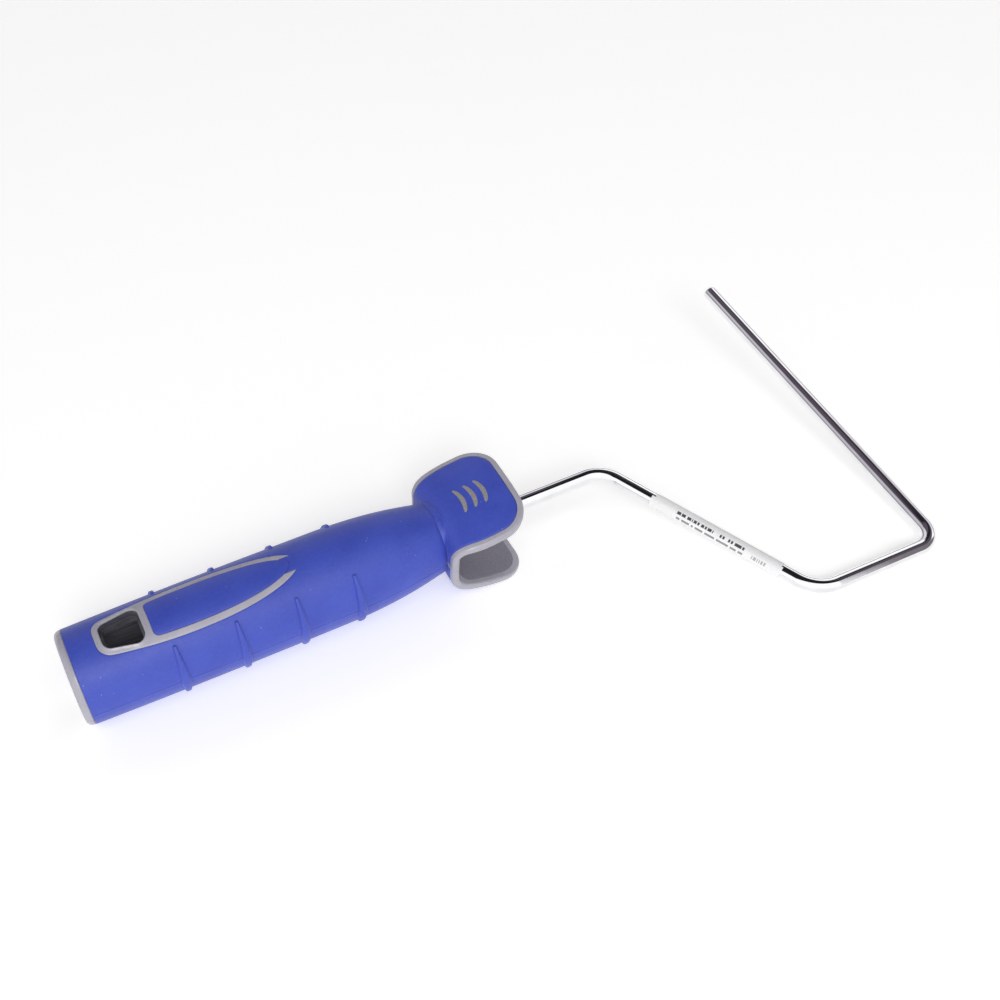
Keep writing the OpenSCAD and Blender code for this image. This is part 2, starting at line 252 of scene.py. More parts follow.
class Sheet:
    """A flat triangle mesh inside outlines: points, triangles, and distances to each outline."""

    def __init__(self, outlines, step, insets, edge_step):
        # the insets are rings of points beside each outline, for the rounded edges
        loops = [subdivided(outline, edge_step) for outline in outlines]
        everything = [np.asarray(loop) for loop in loops]
        for loop in loops:
            p = np.asarray(loop)
            along = np.roll(p, -1, axis=0) - np.roll(p, 1, axis=0)
            across = np.c_[-along[:, 1], along[:, 0]] / np.hypot(along[:, 0], along[:, 1])[:, None]
            for inset in insets:
                for way in (1, -1):
                    ring = p + way * inset * across
                    clear = nearest(ring, loops) > 0.97 * inset
                    everything.append(ring[inside(ring, loops) & clear])
        low_corner, high_corner = np.min(loops[0], axis=0), np.max(loops[0], axis=0)
        rows = np.arange(low_corner[1], high_corner[1], step * 0.866)
        columns = np.arange(low_corner[0], high_corner[0], step)
        grid = np.array([(x + (i % 2) * step / 2, y) for i, y in enumerate(rows) for x in columns])
        deep = nearest(grid, loops) > insets[-1] + 0.45 * step
        everything.append(grid[inside(grid, loops) & deep])
        points = [Vector(p) for p in np.vstack(everything).tolist()]
        edges, start = [], 0
        for loop in loops:
            edges += [(start + i, start + (i + 1) % len(loop)) for i in range(len(loop))]
            start += len(loop)
        flat, _, faces, *_ = delaunay_2d_cdt(points, edges, [], 0, 1e-5)
        self.points = np.array([tuple(p) for p in flat])
        faces = np.array([f for f in faces if len(f) == 3])
        self.faces = faces[inside(self.points[faces].mean(1), loops)]
        self.gaps = [distance_to(self.points, loop) for loop in loops]
        self.edge = np.min(self.gaps, axis=0)


def shell_mesh(sheet, outer, inner, open_at=None):
    """Points and faces of a closed piece: the sheet lifted twice and joined round its edges."""
    count = len(sheet.points)
    points = np.vstack([outer, inner])
    faces = [tuple(f) for f in sheet.faces] + [tuple(count + i for i in f[::-1]) for f in sheet.faces]
    edges = dict.fromkeys((int(f[i - 1]), int(f[i])) for f in sheet.faces for i in range(3))
    for a, b in edges:
        if (b, a) not in edges and not (open_at is not None and open_at[a] and open_at[b]):
            faces.append((b, a, a + count, b + count))
    return points, faces


def mirrored_in_z(points, faces):
    """Points and faces of the same shape turned over through the plane z = 0."""
    return points * (1, 1, -1), [f[::-1] for f in faces]


def add_object(name, data):
    """An object in the scene that shows a mesh, a light or a camera."""
    made = bpy.data.objects.new(name, data)
    bpy.context.scene.collection.objects.link(made)
    return made


def clean_mesh(mesh, smooth_angle, merge=0.0, sliver=0.0):
    """Merges doubles, drops slivers, points the faces outwards and shades smooth below an angle."""
    cleaned = bmesh.new()
    cleaned.from_mesh(mesh)
    if merge:
        bmesh.ops.remove_doubles(cleaned, verts=cleaned.verts, dist=merge)
    if sliver:
        bmesh.ops.dissolve_degenerate(cleaned, edges=cleaned.edges, dist=sliver)
    bmesh.ops.recalc_face_normals(cleaned, faces=cleaned.faces)
    cleaned.to_mesh(mesh)
    cleaned.free()
    mesh.shade_smooth()
    mesh.set_sharp_from_angle(angle=math.radians(smooth_angle))


def new_mesh(name, points, faces, edges=()):
    """A mesh in metres from points in millimetres."""
    mesh = bpy.data.meshes.new(name)
    mesh.from_pydata((np.array(points) * MM).tolist(), edges, faces)
    return mesh


def add_mesh(name, parts, finish, smooth_angle=35):
    """A mesh object from parts, each a list of points in millimetres and a list of faces."""
    points, faces = [], []
    for part_points, part_faces in parts:
        start = len(points)
        points += list(part_points)
        faces += [tuple(int(i) + start for i in f) for f in part_faces]
    mesh = new_mesh(name, points, faces)
    clean_mesh(mesh, smooth_angle, merge=2e-6, sliver=1e-7)
    mesh.materials.append(FINISHES[finish])
    return add_object(name, mesh)


def slab_mesh(name, top, under, rows, columns):
    """A closed mesh between two grids of points in millimetres, listed row by row."""
    count = len(top)
    faces = []
    for j in range(rows):
        for i in range(columns):
            a = j * (columns + 1) + i
            faces.append((a, a + 1, a + columns + 2, a + columns + 1))
    faces += [tuple(count + i for i in reversed(f)) for f in faces]
    side = [j * (columns + 1) for j in range(rows + 1)]
    end = list(range(columns + 1))
    for shift, line in ((0, side), (columns, side), (0, end), (side[-1], end)):
        for a, b in zip(line, line[1:]):
            faces.append((a + shift, b + shift, b + shift + count, a + shift + count))
    return new_mesh(name, top + under, faces)


def lathe(outline, steps):
    """Points and faces of a closed solid turned about the handle's axis, from (x, radius) points."""
    points, faces = [], []
    count = len(outline)
    for k in range(steps):
        a = 2 * math.pi * k / steps
        points += [(x, r * math.sin(a), r * math.cos(a)) for x, r in outline]
        for i in range(count):
            here, there = k * count, (k + 1) % steps * count
            faces.append((here + i, here + (i + 1) % count, there + (i + 1) % count, there + i))
    return np.array(points), faces


def rounded_drop(edge, radius):
    """How far a rounded edge falls away at each distance from it."""
    inside_edge = np.clip(radius - edge, 0, radius)
    return radius - np.sqrt(radius * radius - inside_edge * inside_edge)


def smooth_step(value, start, end):
    """0 before the start, 1 after the end, and a smooth climb between them."""
    t = np.clip((value - start) / (end - start), 0, 1)
    return t * t * (3 - 2 * t)


def hump(offset, height, width):
    """A smooth hump of a height, centred where the offset is 0."""
    return height * np.exp(-(offset / width) ** 2)


# ---------------- finishes

class ShaderTree:
    """A shader node tree and short ways to build it."""

    def __init__(self, tree):
        self.tree = tree

    def add(self, kind, **values):
        """A node, with values for the inputs that have these names, an underscore for a space."""
        made = self.tree.nodes.new(kind)
        for key, value in values.items():
            made.inputs[key.replace("_", " ")].default_value = value
        return made

    def link(self, source, target):
        self.tree.links.new(source, target)

    def separate(self, vector):
        split = self.add("ShaderNodeSeparateXYZ")
        self.link(vector, split.inputs[0])
        return split.outputs

    def math(self, operation, a, b=0.5):
        made = self.add("ShaderNodeMath")
        made.operation = operation
        for socket, value in zip(made.inputs, (a, b)):
            if isinstance(value, (int, float)):
                socket.default_value = value
            else:
                self.link(value, socket)
        return made.outputs["Value"]

    def product(self, first, *others):
        for other in others:
            first = self.math("MULTIPLY", first, other)
        return first

    def mix(self, factor, a, b):
        mix = self.add("ShaderNodeMix")
        mix.data_type = "RGBA"
        for socket, value in ((mix.inputs[0], factor), (mix.inputs[6], a), (mix.inputs[7], b)):
            if isinstance(value, tuple):
                socket.default_value = (*value, 1)
            else:
                self.link(value, socket)
        return mix.outputs[2]


class Finish(ShaderTree):
    """A Principled material. Patterns read the object's own coordinates or its UV map."""

    def __init__(self, name, metallic=0.0, specular=0.5):
        self.material = bpy.data.materials.new(name)
        self.material.use_nodes = True
        super().__init__(self.material.node_tree)
        self.shader = self.tree.nodes["Principled BSDF"]
        self.shader.inputs["Metallic"].default_value = metallic
        self.shader.inputs["Specular IOR Level"].default_value = specular
        coordinates = self.add("ShaderNodeTexCoord").outputs
        self.place, self.uv = coordinates["Object"], coordinates["UV"]
        self.last_normal = None

    def placed(self, kind, source=None, **values):
        """Outputs of a node that reads the object's own coordinates, or another vector."""
        made = self.add(kind, **values)
        self.link(source or self.place, made.inputs["Vector"])
        return made.outputs

    def drawn_out(self, share):
        """Coordinates that stretch a pattern along the handle."""
        return self.placed("ShaderNodeMapping", Scale=(share, 1, 1))["Vector"]

    def noise(self, size_mm, detail, rough=0.5, source=None):
        """Noise whose features are about that many millimetres across."""
        return self.placed("ShaderNodeTexNoise", source, Scale=1 / (size_mm * MM), Detail=detail,
                           Roughness=rough)["Fac"]

    def cells(self, size_mm):
        """Distance to the middle of random cells that are about that many millimetres across."""
        return self.placed("ShaderNodeTexVoronoi", Scale=1 / (size_mm * MM))["Distance"]

    def ramp(self, value, *stops):
        """Maps a value to the colours or greys of two stops."""
        ramp = self.add("ShaderNodeValToRGB")
        for element, (position, colour) in zip(ramp.color_ramp.elements, stops):
            grey = (colour, colour, colour) if isinstance(colour, (int, float)) else colour
            element.position = position
            element.color = (*grey, 1)
        self.link(value, ramp.inputs["Fac"])
        return ramp.outputs["Color"]

    def colour(self, source):
        self.link(source, self.shader.inputs["Base Color"])

    def roughness(self, value, lowest, highest):
        spread = self.add("ShaderNodeMapRange", To_Min=lowest, To_Max=highest)
        self.link(value, spread.inputs["Value"])
        self.link(spread.outputs["Result"], self.shader.inputs["Roughness"])

    def bump(self, height, depth_mm):
        """Adds relief of a depth to the bumps so far."""
        bump = self.add("ShaderNodeBump", Strength=1.0, Distance=depth_mm * MM)
        self.link(height, bump.inputs["Height"])
        if self.last_normal is not None:
            self.link(self.last_normal, bump.inputs["Normal"])
        self.last_normal = bump.outputs["Normal"]
        self.link(self.last_normal, self.shader.inputs["Normal"])


def soft_blue():
    """Soft-touch rubber: spark-eroded grain, cloudy colour, a few specks of dust."""
    f = Finish("soft_blue_rubber")
    clouds = f.noise(14, 3)
    base = f.ramp(clouds, (0.3, (0.030, 0.056, 0.400)), (0.7, (0.040, 0.071, 0.450)))
    mottle = f.noise(0.9, 2)
    base = f.mix(f.ramp(mottle, (0.42, 0.0), (0.75, 0.22)), base, (0.075, 0.110, 0.520))
    specks = f.math("LESS_THAN", f.cells(3.4), 0.055)
    picked = f.math("GREATER_THAN", f.noise(3.1, 0), 0.50)
    base = f.mix(f.product(specks, picked, 0.45), base, (0.45, 0.50, 0.75))
    f.colour(base)
    f.roughness(f.noise(2.4, 4), 0.44, 0.60)
    f.bump(f.noise(5.0, 2), 0.03)
    f.bump(f.noise(0.28, 3, 0.6), 0.016)
    f.shader.inputs["Sheen Weight"].default_value = 0.12
    f.shader.inputs["Sheen Roughness"].default_value = 0.45
    return f.material


def hard_grey():
    """Satin grey moulding with a fine grain and flow clouds."""
    f = Finish("hard_grey_plastic")
    clouds = f.noise(9, 3)
    base = f.ramp(clouds, (0.3, (0.315, 0.307, 0.358)), (0.7, (0.372, 0.362, 0.416)))
    grain = f.noise(0.35, 2)
    base = f.mix(f.ramp(grain, (0.4, 0.0), (0.8, 0.35)), base, (0.42, 0.41, 0.45))
    f.colour(base)
    f.roughness(f.noise(1.3, 3), 0.22, 0.36)
    f.bump(f.noise(3.5, 2), 0.03)
    f.bump(f.noise(0.22, 2), 0.008)
    return f.material


def grainy_grey():
    """The guard's raised marks: a coarse, slightly darker grain."""
    return textured("grainy_grey_plastic", 0.45, (0.190, 0.185, 0.172), (0.330, 0.322, 0.305), 0.32, 0.70,
                    (0.45, 0.70))


def panel_grey():
    """Grey moulding with the coarse spark texture of the guard's front panels; its darker tone is painted
    shade on the panel's face.
    """
    # the dark stops of this ramp are painted shade on the panel's face; the coarse grain is the plastic's
    # own
    return textured("textured_dark_grey_plastic", 0.40, (0.160, 0.154, 0.190), (0.270, 0.262, 0.310), 0.30,
                    0.72, (0.52, 0.75))


def textured(name, size_mm, dark, light, dark_at, light_at, gloss):
    """A plastic whose coarse grain shows in its colour, its gloss and its relief."""
    f = Finish(name, specular=0.4)
    grain = f.noise(size_mm, 3, 0.7)
    f.colour(f.ramp(grain, (dark_at, dark), (light_at, light)))
    f.roughness(grain, *gloss)
    f.bump(grain, 0.05)
    return f.material


def socket_black():
    """Liner painted charcoal as the shade inside the bore and the hang hole, with streaks drawn along its
    length by the core pin that forms it.
    """
    f = Finish("charcoal_liner_plastic", specular=0.4)
    streaks = f.noise(0.6, 3, source=f.drawn_out(0.06))
    # the charcoal stops are painted shade inside the bore and the hole; the streaks are the bore's own
    # draw marks
    f.colour(f.ramp(streaks, (0.3, (0.055, 0.055, 0.068)), (0.75, (0.110, 0.110, 0.130))))
    f.roughness(streaks, 0.38, 0.60)
    f.bump(streaks, 0.02)
    return f.material


def core_grey():
    """The hidden core: plain grey moulding with flow marks."""
    f = Finish("core_grey_plastic")
    flow = f.noise(4, 3, source=f.drawn_out(0.3))
    f.colour(f.ramp(flow, (0.3, (0.20, 0.20, 0.22)), (0.7, (0.26, 0.26, 0.28))))
    f.roughness(flow, 0.4, 0.6)
    f.bump(f.noise(0.5, 2), 0.01)
    return f.material


def chrome_rod():
    """Bright chrome on drawn wire: faint haze and very shallow draw marks."""
    f = Finish("bright_chrome_wire", metallic=1.0)
    haze = f.noise(7, 3)
    f.colour(f.ramp(haze, (0.3, (0.78, 0.78, 0.80)), (0.7, (0.86, 0.86, 0.88))))
    f.roughness(f.noise(1.5, 4), 0.045, 0.11)
    f.bump(f.noise(6.0, 2), 0.012)
    return f.material


def label_paper():
    """White semi-gloss paper: fibre, a faint cockle and a print of plain bars and dashes."""
    f = Finish("label_paper_white", specular=0.45)
    u, v, _ = f.separate(f.uv)
    paper = f.ramp(f.noise(0.7, 3), (0.35, (0.76, 0.76, 0.76)), (0.65, (0.82, 0.82, 0.82)))
    f.colour(printed(f, paper, u, v))
    f.roughness(f.noise(2.0, 3), 0.36, 0.5)
    f.bump(f.noise(3.0, 2), 0.03)
    f.bump(f.noise(0.2, 2), 0.004)
    return f.material


def between(f, value, start, end):
    """1 where the value lies between two limits, 0 elsewhere."""
    return f.product(f.math("GREATER_THAN", value, start), f.math("LESS_THAN", value, end))


def stripes(f, u, pitch, share, seed):
    """Bars of one pitch, of which a random share is printed. They spell nothing."""
    bar = f.math("FLOOR", f.math("DIVIDE", f.math("ADD", u, seed), pitch), 0)
    random = f.add("ShaderNodeTexWhiteNoise")
    random.noise_dimensions = "1D"
    f.link(bar, random.inputs["W"])
    return f.math("LESS_THAN", random.outputs["Value"], share)


def printed(f, paper, u, v):
    """Plain bars and rows of dashes on the paper. u and v are millimetres along and round it."""
    rows = (
        # pitch, share printed, seed, limits along, limits round, strength, ink
        (0.42, 0.55, 3.1, (10.5, 41.0), (-0.9, 0.25), 1.0, (0.05, 0.05, 0.06)),
        (0.85, 0.62, 7.7, (12.0, 41.0), (1.3, 2.2), 0.8, (0.12, 0.12, 0.14)),
        (0.45, 0.55, 11.3, (20.0, 41.0), (2.75, 3.15), 0.45, (0.25, 0.25, 0.28)),
        (0.40, 0.65, 5.9, (44.5, 50.5), (0.3, 1.7), 0.6, (0.15, 0.15, 0.18)),
    )
    for pitch, share, seed, along, around, strength, ink in rows:
        area = f.product(between(f, u, *along), between(f, v, *around), strength)
        paper = f.mix(f.product(stripes(f, u, pitch, share, seed), area), paper, ink)
    return paper


FINISHES = {
    "soft_blue": soft_blue(),
    "hard_grey": hard_grey(),
    "mark_grey": grainy_grey(),
    "panel_grey": panel_grey(),
    "socket_black": socket_black(),
    "chrome_rod": chrome_rod(),
    "label_paper": label_paper(),
    "core_grey": core_grey(),
}


def place(piece, slot, *nodes):
    """Rides a finished piece on the body and hides the CAD nodes that it stands for."""
    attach(piece, "root")
    if nodes:
        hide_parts(*nodes)


def place_sided(part, side, node, ending, finish):
    """Adds and places one of a pair of pieces. The bottom one is the top one turned over."""
    if side < 0:
        part = mirrored_in_z(*part)
    place(add_mesh(node + ending, [part], finish), finish, node)


# ---------------- grip

def grip_radius(x):
    """Radius of the grip at distances from the butt."""
    x = np.asarray(x, float)
    rear = GRIP_R - (GRIP_R - BUTT_R) * ((BELLY_X - np.minimum(x, BELLY_X)) / BELLY_X) ** 2
    neck = np.maximum(x - GRIP_TO + NECK_LEN, 0) / NECK_LEN
    return rear - (GRIP_R - NECK_R) * neck ** NECK_POWER


def bezel_half(x, inset):
    """Half the bezel's width behind its widest place."""
    return BEZEL_HALF - inset - REAR_DROP * (x - BEZEL_WIDE_X) ** 2


def front_curve(inset, until, count=26):
    """The curve from the bezel's widest place towards its front point, down to a half width."""
    half = BEZEL_HALF - inset
    length = BEZEL_TO - TAIL_INSET * inset - BEZEL_WIDE_X
    last = math.acos(until / half)
    angles = [last * i / count for i in range(count + 1)]
    return [(BEZEL_WIDE_X + length * math.sin(a) ** (2 / FRONT_POWER), half * math.cos(a))
            for a in angles]


def rear_corner(x_from, radius, inset):
    """A rounded rear corner that meets the bezel's side without a kink."""
    lean = math.degrees(math.atan(2 * REAR_DROP * (BEZEL_WIDE_X - x_from - radius)))
    x_join = x_from + radius - radius * math.sin(math.radians(lean))
    y_centre = bezel_half(x_join, inset) - radius * math.cos(math.radians(lean))
    return arc((x_from + radius, y_centre), radius, 180, 90 + lean), x_join


def side_curve(x_from, radius, inset, until):
    """Half an outline: rear corner, side and front curve."""
    corner, x_join = rear_corner(x_from, radius, inset)
    steps = max(2, int((BEZEL_WIDE_X - x_join) / 1.5))
    side = [(x, bezel_half(x, inset)) for x in np.linspace(x_join, BEZEL_WIDE_X, steps + 1)[1:-1]]
    return corner + side + front_curve(inset, until)


def opening_half():
    """+Y half of the opening in the sleeve: round the bezel to an arm's tip and along the inlay."""
    outer = side_curve(BEZEL_FROM, REAR_CORNER_R, 0.0, TIP_HALF)
    inner_end = front_curve(ARM_W, TIP_HALF)[-1]
    inlay_front = [p for p in front_curve(ARM_W, 0.0, 60) if p[1] < TIP_HALF - 0.05]
    return outer + [inner_end] + inlay_front


def arms_outline():
    """The bezel with its two arms, round the outside and back round the inlay."""
    outer = side_curve(BEZEL_FROM, REAR_CORNER_R, 0.0, TIP_HALF)
    inner = side_curve(INLAY_FROM, INLAY_CORNER_R, ARM_W, TIP_HALF)
    half = outer + inner[::-1]
    return half + [(x, -y) for x, y in half[::-1]]


def hole_outline(grow=0.0):
    """The hang hole: wider in front, with rounded corners, and larger by a margin all round."""
    radius = HOLE_CORNER_R + grow
    half = (arc((HOLE_FROM + HOLE_CORNER_R, HOLE_REAR_HALF - HOLE_CORNER_R), radius, 180, 96)
            + arc((HOLE_TO - HOLE_CORNER_R, HOLE_FRONT_HALF - HOLE_CORNER_R), radius, 94, 0))
    return both_sides(half)


def wrapped(outline):
    """A plan outline in x and y, as x and arc length round the grip."""
    return [(x, ARC_R * math.asin(y / float(grip_radius(x)))) for x, y in outline]


def on_cylinder(x, angle, radius):
    """Points at angles round the handle's axis."""
    return np.c_[x, radius * np.sin(angle), radius * np.cos(angle)]


def above_plan(x, y, radius):
    """Points straight above plan positions, on a round section of a radius."""
    return np.c_[x, y, np.sqrt(radius ** 2 - y ** 2)]


def build_sleeve():
    """Soft sleeve with the bezel's opening, softened edges and the moulds' parting line."""
    border = [(GRIP_FROM, -SIDE_ARC), (GRIP_TO, -SIDE_ARC), (GRIP_TO, SIDE_ARC), (GRIP_FROM, SIDE_ARC)]
    opening = wrapped(both_sides(opening_half()))
    sheet = Sheet([border, opening], 1.0, (0.08, 0.2, 0.35), edge_step=0.5)
    x, along = sheet.points.T
    radius = grip_radius(x)
    ends = np.minimum(x - GRIP_FROM, GRIP_TO - x)
    to_parting = SIDE_ARC - np.abs(along)
    flash = FLASH_H * np.clip(1 - to_parting / FLASH_W, 0, 1)
    fall = rounded_drop(sheet.gaps[1], SOFT_EDGE_R) + rounded_drop(ends, SOFT_EDGE_R)
    angle = along / ARC_R
    outer = on_cylinder(x, angle, radius - fall + flash + hump(GRIP_TO - 1.4 - x, 0.12, 0.9))
    inner = on_cylinder(x, angle, radius - SLEEVE_T)
    top = shell_mesh(sheet, outer, inner, open_at=to_parting < 1e-6)
    piece = add_mesh("grip_sleeve_skin", [top, mirrored_in_z(*top)], "soft_blue")
    place(piece, "soft_blue", "grip_sleeve")


def build_bezel(side, suffix):
    """Grey bezel: two arms, the frame round the hang hole, and the hole's beaded lip."""
    sheet = Sheet([arms_outline(), hole_outline()], 0.8, (0.06, 0.15, 0.3, 0.5), edge_step=0.4)
    x, y = sheet.points.T
    to_hole = sheet.gaps[1]
    radius = grip_radius(x)
    fall = rounded_drop(sheet.gaps[0], SOFT_EDGE_R) + 0.9 * rounded_drop(to_hole, 0.35)
    outer = above_plan(x, y, radius - fall + hump(to_hole - 0.5, LIP_BEAD_H, 0.28) + 0.04)
    inner = above_plan(x, y, np.where(to_hole < LINING_T, radius - LIP_T, radius - SLEEVE_T))
    place_sided(shell_mesh(sheet, outer, inner), side, "hang_bezel_" + suffix, "_trim", "hard_grey")


def build_inlay(side, suffix):
    """Soft inlay between the arms, with a fine groove round it."""
    outline = both_sides(side_curve(INLAY_FROM, INLAY_CORNER_R, ARM_W, 0.0))
    sheet = Sheet([outline], 0.9, (0.08, 0.2, 0.4), edge_step=0.45)
    x, y = sheet.points.T
    radius = grip_radius(x)
    outer = above_plan(x, y, radius - rounded_drop(sheet.edge, 0.35) + 0.03)
    inner = above_plan(x, y, radius - SLEEVE_T)
    place_sided(shell_mesh(sheet, outer, inner), side, "grip_inlay_" + suffix, "_skin", "soft_blue")


def build_butt_ring():
    """Hard ring round the butt, rounded outside, with a chamfered mouth."""
    edge_r = 2.5
    edge = [(edge_r - edge_r * math.cos(a), BUTT_R - edge_r + edge_r * math.sin(a))
            for a in np.linspace(0.12, math.pi / 2, 12)]
    inner = SOCKET_OUT_R + 0.06
    meets_r = float(grip_radius(GRIP_FROM))
    mouth = [(0.5, inner), (0.02, inner + 0.5), (0.0, inner + 0.8)]
    front = [(GRIP_FROM - 0.25, meets_r + 0.02), (GRIP_FROM, meets_r - 0.22), (GRIP_FROM, inner)]
    piece = add_mesh("butt_ring_trim", [lathe(mouth + edge + front, 160)], "hard_grey")
    place(piece, "hard_grey", "butt_ring")


def hole_wall(drop, foot_drop, ledge):
    """A ring round the hang hole, painted charcoal as shade, from one depth in the grip to another or to
    the liner.
    """
    sheet = Sheet([hole_outline(LINING_T), hole_outline(-ledge)], 0.8, (0.08,), edge_step=0.4)
    x, y = sheet.points.T
    radius = grip_radius(x)
    top = above_plan(x, y, radius - drop - rounded_drop(sheet.gaps[1], 0.12))
    foot_r = radius - foot_drop if foot_drop else np.full_like(x, SOCKET_OUT_R - 0.3)
    return shell_mesh(sheet, top, above_plan(x, y, foot_r))


def build_socket():
    """Liner painted charcoal as shade, with fine grooves along it, cut by the hang hole, and its closed
    end.
    """
    end = SOCKET_TO - SOCKET_FLOOR
    side_arc = SOCKET_R * math.pi / 2
    border = [(0.0, -side_arc), (end, -side_arc), (end, side_arc), (0.0, side_arc)]
    hole = [(x, SOCKET_R * math.asin(y / SOCKET_R)) for x, y in hole_outline()]
    sheet = Sheet([border, hole], 1.0, (0.1, 0.3), edge_step=0.5)
    x, along = sheet.points.T
    angle = along / SOCKET_R
    half_pitch = SOCKET_GROOVE_PITCH / 2
    off_groove = np.mod(np.degrees(angle) + half_pitch, SOCKET_GROOVE_PITCH) - half_pitch
    groove = np.where((x > 1.5) & (x < end - 1), hump(off_groove, SOCKET_GROOVE_D, 1.6), 0)
    bore = SOCKET_R + groove + 0.4 * np.clip(0.5 - x, 0, 1)
    outer, inner = on_cylinder(x, angle, SOCKET_OUT_R), on_cylinder(x, angle, bore)
    top = shell_mesh(sheet, outer, inner, open_at=side_arc - np.abs(along) < 1e-6)
    floor = lathe([(end, 0.0), (end, SOCKET_OUT_R), (SOCKET_TO, SOCKET_OUT_R), (SOCKET_TO, 0.0)], 96)
    walls = [hole_wall(LIP_T - 0.02, LEDGE_DEPTH + 0.05, 0.0), hole_wall(LEDGE_DEPTH, None, LEDGE_W)]
    walls += [mirrored_in_z(*wall) for wall in walls]
    piece = add_mesh("pole_socket_liner", [top, mirrored_in_z(*top), floor] + walls, "socket_black")
    place(piece, "socket_black", "pole_socket")


# ---------------- node trees for repeated pieces

class NodeTree:
    """A Geometry Nodes tree with named inputs, and short ways to build it."""

    def __init__(self, name, inputs):
        self.tree = bpy.data.node_groups.new(name, "GeometryNodeTree")
        self.tree.is_modifier = True
        face = self.tree.interface
        face.new_socket("Geometry", in_out="INPUT", socket_type="NodeSocketGeometry")
        face.new_socket("Geometry", in_out="OUTPUT", socket_type="NodeSocketGeometry")
        for label, kind in inputs:
            face.new_socket(label, in_out="INPUT", socket_type=kind)
        self.start = self.tree.nodes.new("NodeGroupInput")
        self.end = self.tree.nodes.new("NodeGroupOutput")

    def value(self, label):
        return self.start.outputs[label]

    def add(self, kind, inputs, **settings):
        """A node with its settings and its inputs, each a value or another node's output."""
        made = self.tree.nodes.new(kind)
        for key, value in settings.items():
            setattr(made, key, value)
        for key, value in inputs.items():
            if isinstance(value, bpy.types.NodeSocket):
                self.tree.links.new(value, made.inputs[key])
            else:
                made.inputs[key].default_value = value
        return made

    def attribute(self, name):
        """The base mesh's own number for each point."""
        return self.add("GeometryNodeInputNamedAttribute", {"Name": name}, data_type="FLOAT").outputs[0]

    def scatter(self, points, label, angles, finish, **scale):
        """One instance of the object with that label on each point."""
        shape = self.add("GeometryNodeObjectInfo", {"Object": self.value(label)})
        turned = self.add("ShaderNodeCombineXYZ", angles)
        spread = self.add("GeometryNodeInstanceOnPoints", {
            "Points": points, "Instance": shape.outputs["Geometry"],
            "Rotation": turned.outputs[0], **scale})
        self.finish(spread.outputs[0], finish)

    def finish(self, geometry, finish):
        """Makes the geometry real and gives it its material."""
        real = self.add("GeometryNodeRealizeInstances", {0: geometry})
        coloured = self.add("GeometryNodeSetMaterial", {0: real.outputs[0], "Material": FINISHES[finish]})
        self.tree.links.new(coloured.outputs[0], self.end.inputs[0])


def grown(name, base_mesh, nodes, values, smooth_angle=40):
    """A plain mesh object from a node tree on a base mesh, with its inputs set by identifier."""
    base = add_object(name + "_base", base_mesh)
    modifier = base.modifiers.new(name, "NODES")
    modifier.node_group = nodes.tree
    for item in nodes.tree.interface.items_tree:
        if item.item_type == "SOCKET" and item.in_out == "INPUT" and item.name in values:
            modifier[item.identifier] = values[item.name]
    evaluated = base.evaluated_get(bpy.context.evaluated_depsgraph_get())
    mesh = bpy.data.meshes.new_from_object(evaluated)
    bpy.data.objects.remove(base)
    clean_mesh(mesh, smooth_angle, merge=1e-6)
    return add_object(name, mesh)


def points_mesh(name, points, edges=(), **attributes):
    """A mesh of loose points or edges, with a named float for each point."""
    mesh = new_mesh(name, points, [], edges)
    for key, values in attributes.items():
        mesh.attributes.new(key, "FLOAT", "POINT").data.foreach_set("value", values)
    return mesh


def rib_mesh():
    """One teardrop rib on the grip's round: wide in the middle, with narrow round ends."""
    across, around = 16, 72
    length = math.radians(RIB_SPAN) * GRIP_R
    top = []
    for j in range(around + 1):
        t = math.sin(math.pi / 2 * (-1 + 2 * j / around))
        angle = math.radians(RIB_SPAN) * t
        from_tip = min(1.0, length * (1 - abs(t)) / (RIB_TIP_W / 2))
        end = math.sqrt(max(0.0, 1 - (1 - from_tip) ** 2))
        half_w = (RIB_TIP_W + (RIB_W - RIB_TIP_W) * (1 - abs(t))) / 2 * max(0.03, end)
        height = RIB_H * (0.72 + 0.28 * (1 - abs(t))) * end
        for i in range(across + 1):
            s = math.sin(math.pi / 2 * (-1 + 2 * i / across))
            radius = GRIP_R + height * (1 - abs(s) ** 5) - 0.12
            top.append((half_w * s, radius * math.cos(angle), radius * math.sin(angle)))
    under = []
    for x, y, z in top:
        shrink = (GRIP_R - 0.5) / math.hypot(y, z)
        under.append((x, y * shrink, z * shrink))
    return slab_mesh("rib", top, under, around, across)


def build_ribs():
    """The ribs, one instance for each place, scaled to the grip's radius there."""
    nodes = NodeTree("rib_row", (("Rib", "NodeSocketObject"),))
    size = nodes.attribute("size")
    scale = nodes.add("ShaderNodeCombineXYZ", {"X": 1.0, "Y": size, "Z": size}).outputs[0]
    nodes.scatter(nodes.value("Geometry"), "Rib", {"X": nodes.attribute("turn")}, "soft_blue", Scale=scale)
    rib = add_object("rib_shape", rib_mesh())
    stations = [RIB_FIRST + i * RIB_PITCH for i in range(RIB_COUNT) for _ in range(2)]
    base = points_mesh("rib_places", [(x, 0, 0) for x in stations],
                       size=[float(grip_radius(x)) / GRIP_R for x in stations],
                       turn=[0.0, math.pi] * RIB_COUNT)
    piece = grown("grip_ribs", base, nodes, {"Rib": rib}, smooth_angle=50)
    bpy.data.objects.remove(rib)
    place(piece, "soft_blue")


# ---------------- thumb guard

RISE = math.tan(SLOPE)
BACK_CENTRE_Z = PADDLE_Z + RISE * BACK_R - BACK_R / math.cos(SLOPE)
BEND_END = BACK_CENTRE_Z + BACK_R * (math.pi / 2 - SLOPE)
PADDLE_X = GUARD_X + BACK_R - BACK_R * math.sin(SLOPE)
GUARD_S = BEND_END + (GUARD_X + GUARD_LEN - PADDLE_X) / math.cos(SLOPE)


